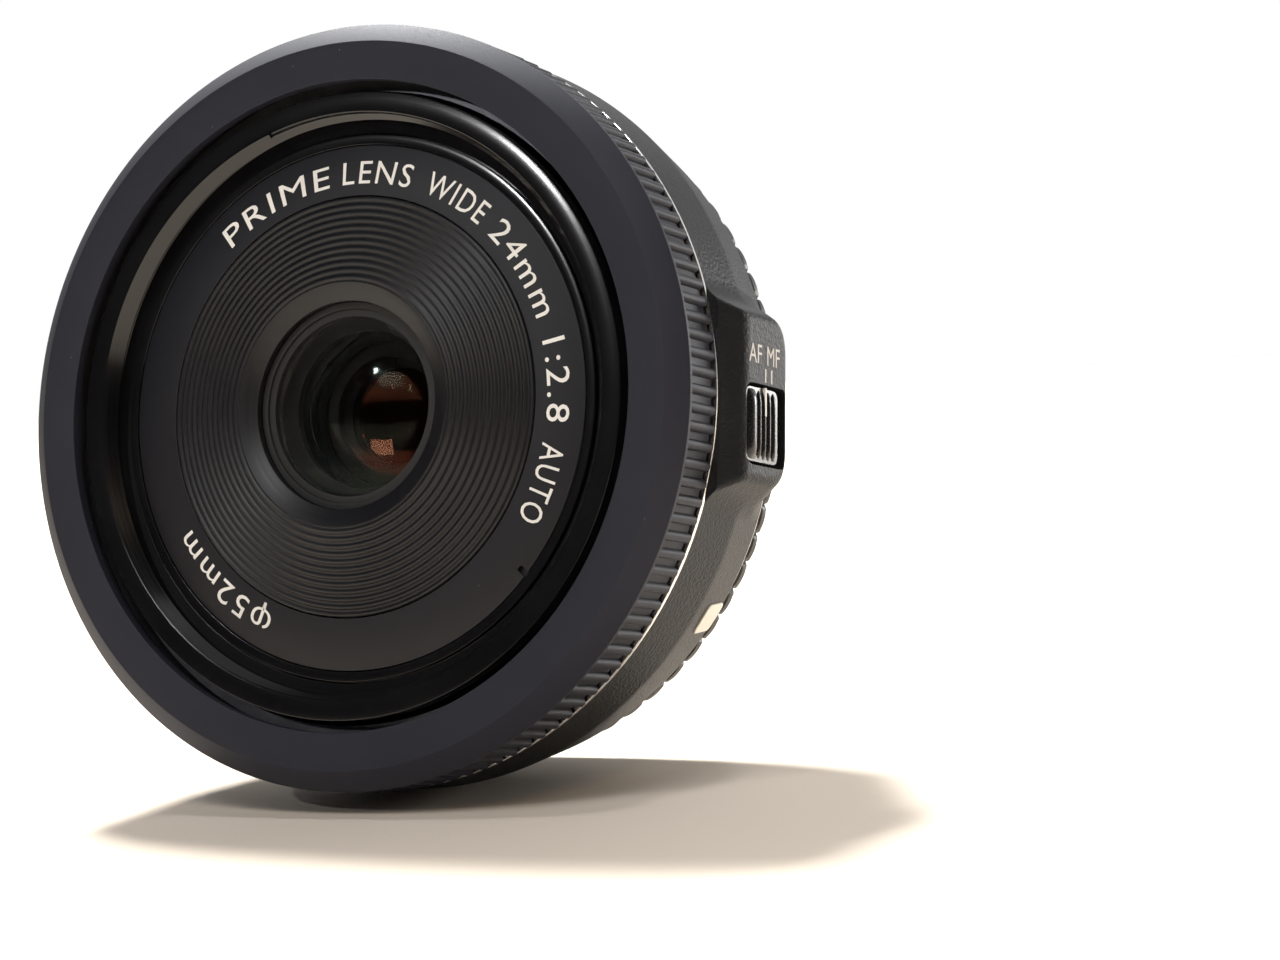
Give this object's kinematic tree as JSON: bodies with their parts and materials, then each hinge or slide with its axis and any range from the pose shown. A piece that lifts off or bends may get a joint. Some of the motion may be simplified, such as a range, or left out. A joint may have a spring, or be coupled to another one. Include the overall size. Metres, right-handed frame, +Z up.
{
  "type": "prime camera lens",
  "caption": "Slim fixed-focal-length camera lens with a ribbed focus ring, threaded front, AF/MF switch, bayonet mount and fitted rear cap.",
  "frame": {"origin": "centre of the mount flange face, on the optical axis", "axes": "-Y out of the front of the lens, +Y towards the camera, +X towards the AF/MF switch, +Z up as the lens lies on its side"},
  "size_m": [0.07, 0.0311, 0.0682],
  "materials": {
    "ring_plastic": "matte",
    "polished_trim": "polished",
    "barrel_plastic": "fine texture",
    "index_white": "satin",
    "gloss_black": "gloss",
    "board_green": "satin",
    "mount_metal": "satin",
    "screw_steel": "satin",
    "matte_black": "matte",
    "gold": "polished",
    "flex_film": "satin",
    "connector_plastic": "matte",
    "guide_plastic": "satin",
    "dark_alloy": "anodised",
    "motor_steel": "satin",
    "brass": "satin",
    "gear_plastic": "satin",
    "name_satin": "satin",
    "coated_glass": "coated",
    "blade_black": "matte",
    "cap_plastic": "matte"
  },
  "bodies": {
    "barrel": {"trim_ring": "polished_trim", "outer_barrel": "barrel_plastic", "mount_index": "index_white", "switch_contact": "board_green", "mount_ring": "mount_metal", "mount_screws": "screw_steel", "rear_baffle": "matte_black", "contact_block": "matte_black", "contact_pins": "gold", "contact_flex": "flex_film", "main_board": "board_green", "board_screws": "screw_steel", "control_chip": "matte_black", "driver_chip": "matte_black", "flex_connector": "connector_plastic", "home_sensor": "matte_black", "ring_sensors": "matte_black", "guide_barrel": "guide_plastic", "focus_motor": "motor_steel", "gear_plate": "brass"},
    "focus_ring": {"focus_ring": "ring_plastic"},
    "cam_ring": {"cam_ring": "dark_alloy"},
    "focus_group": {"front_barrel": "gloss_black", "guide_pins": "screw_steel", "name_ring": "name_satin", "front_baffle": "name_satin", "front_cell": "matte_black", "cell_screws": "screw_steel", "front_retainer": "matte_black", "front_element": "coated_glass", "lens_spacer": "matte_black", "second_element": "coated_glass", "iris_base": "matte_black", "iris_motor": "motor_steel", "rear_cell": "matte_black", "third_element": "coated_glass", "fourth_element": "coated_glass", "fifth_element": "coated_glass", "rear_element": "coated_glass", "rear_retainer": "matte_black"},
    "motor_pinion": {"motor_pinion": "brass"},
    "idler_gear": {"idler_gear": "gear_plastic"},
    "output_gear": {"output_gear": "gear_plastic"},
    "iris_ring": {"iris_drive_ring": "blade_black"},
    "iris_pinion": {"iris_pinion": "gear_plastic"},
    "switch_knob": {"switch_knob": "gloss_black"},
    "rear_cap": {"rear_cap": "cap_plastic"},
    "iris_blade_1": {"iris_blade_1": "blade_black"},
    "iris_blade_2": {"iris_blade_2": "blade_black"},
    "iris_blade_3": {"iris_blade_3": "blade_black"},
    "iris_blade_4": {"iris_blade_4": "blade_black"},
    "iris_blade_5": {"iris_blade_5": "blade_black"},
    "iris_blade_6": {"iris_blade_6": "blade_black"},
    "iris_blade_7": {"iris_blade_7": "blade_black"}
  },
  "joints": [
    {"name": "focus_ring_turn", "type": "hinge", "parent": "barrel", "child": "focus_ring", "pos_m": [0, -0.0195, 0], "axis": [0, -1, 0], "continuous": true},
    {"name": "cam_turn", "type": "hinge", "parent": "barrel", "child": "cam_ring", "pos_m": [0, -0.0146, 0], "axis": [0, -1, 0], "range_deg": [0, 100]},
    {"name": "focus_slide", "type": "slide", "parent": "barrel", "child": "focus_group", "axis": [0, -1, 0], "range_m": [0, 0.0065]},
    {"name": "output_gear_turn", "type": "hinge", "parent": "barrel", "child": "output_gear", "pos_m": [-0.00821, -0.006, 0.02255], "axis": [0, -1, 0], "range_deg": [0, 785.72]},
    {"name": "idler_gear_turn", "type": "hinge", "parent": "barrel", "child": "idler_gear", "pos_m": [-0.01342, -0.006, 0.01818], "axis": [0, -1, 0], "range_deg": [-1885.72, 0]},
    {"name": "motor_turn", "type": "hinge", "parent": "barrel", "child": "motor_pinion", "pos_m": [-0.01777, -0.006, 0.01363], "axis": [0, -1, 0], "range_deg": [0, 6034.3]},
    {"name": "iris_turn", "type": "hinge", "parent": "focus_group", "child": "iris_ring", "pos_m": [0, -0.0128, 0], "axis": [0, -1, 0], "range_deg": [0, 7.2]},
    {"name": "iris_pinion_turn", "type": "hinge", "parent": "focus_group", "child": "iris_pinion", "pos_m": [0.00788, -0.0128, -0.01364], "axis": [0, -1, 0], "range_deg": [-57.59, 0]},
    {"name": "switch_slide", "type": "slide", "parent": "barrel", "child": "switch_knob", "axis": [0, 1, 0], "range_m": [0, 0.0012]},
    {"name": "rear_cap_pull", "type": "slide", "parent": "barrel", "child": "rear_cap", "axis": [0, 1, 0], "range_m": [0, 0.03]},
    {"name": "iris_blade_1_turn", "type": "hinge", "parent": "focus_group", "child": "iris_blade_1", "pos_m": [0.0092, -0.0115, 0], "axis": [0, -1, 0], "range_deg": [-22.91, 0]},
    {"name": "iris_blade_2_turn", "type": "hinge", "parent": "focus_group", "child": "iris_blade_2", "pos_m": [0.00574, -0.0115, 0.00719], "axis": [0, -1, 0], "range_deg": [-22.91, 0]},
    {"name": "iris_blade_3_turn", "type": "hinge", "parent": "focus_group", "child": "iris_blade_3", "pos_m": [-0.00205, -0.0115, 0.00897], "axis": [0, -1, 0], "range_deg": [-22.91, 0]},
    {"name": "iris_blade_4_turn", "type": "hinge", "parent": "focus_group", "child": "iris_blade_4", "pos_m": [-0.00829, -0.0115, 0.00399], "axis": [0, -1, 0], "range_deg": [-22.91, 0]},
    {"name": "iris_blade_5_turn", "type": "hinge", "parent": "focus_group", "child": "iris_blade_5", "pos_m": [-0.00829, -0.0115, -0.00399], "axis": [0, -1, 0], "range_deg": [-22.91, 0]},
    {"name": "iris_blade_6_turn", "type": "hinge", "parent": "focus_group", "child": "iris_blade_6", "pos_m": [-0.00205, -0.0115, -0.00897], "axis": [0, -1, 0], "range_deg": [-22.91, 0]},
    {"name": "iris_blade_7_turn", "type": "hinge", "parent": "focus_group", "child": "iris_blade_7", "pos_m": [0.00574, -0.0115, -0.00719], "axis": [0, -1, 0], "range_deg": [-22.91, 0]}
  ],
  "couplings": [
    {"joint": "focus_slide", "follows": "cam_turn", "m_per_rad": 0.0037242},
    {"joint": "output_gear_turn", "follows": "cam_turn", "ratio": 7.8571},
    {"joint": "idler_gear_turn", "follows": "cam_turn", "ratio": -18.857},
    {"joint": "motor_turn", "follows": "cam_turn", "ratio": 60.343},
    {"joint": "iris_pinion_turn", "follows": "iris_turn", "ratio": -8},
    {"joint": "iris_blade_1_turn", "follows": "iris_turn", "ratio": -3.1818},
    {"joint": "iris_blade_2_turn", "follows": "iris_turn", "ratio": -3.1818},
    {"joint": "iris_blade_3_turn", "follows": "iris_turn", "ratio": -3.1818},
    {"joint": "iris_blade_4_turn", "follows": "iris_turn", "ratio": -3.1818},
    {"joint": "iris_blade_5_turn", "follows": "iris_turn", "ratio": -3.1818},
    {"joint": "iris_blade_6_turn", "follows": "iris_turn", "ratio": -3.1818},
    {"joint": "iris_blade_7_turn", "follows": "iris_turn", "ratio": -3.1818}
  ]
}
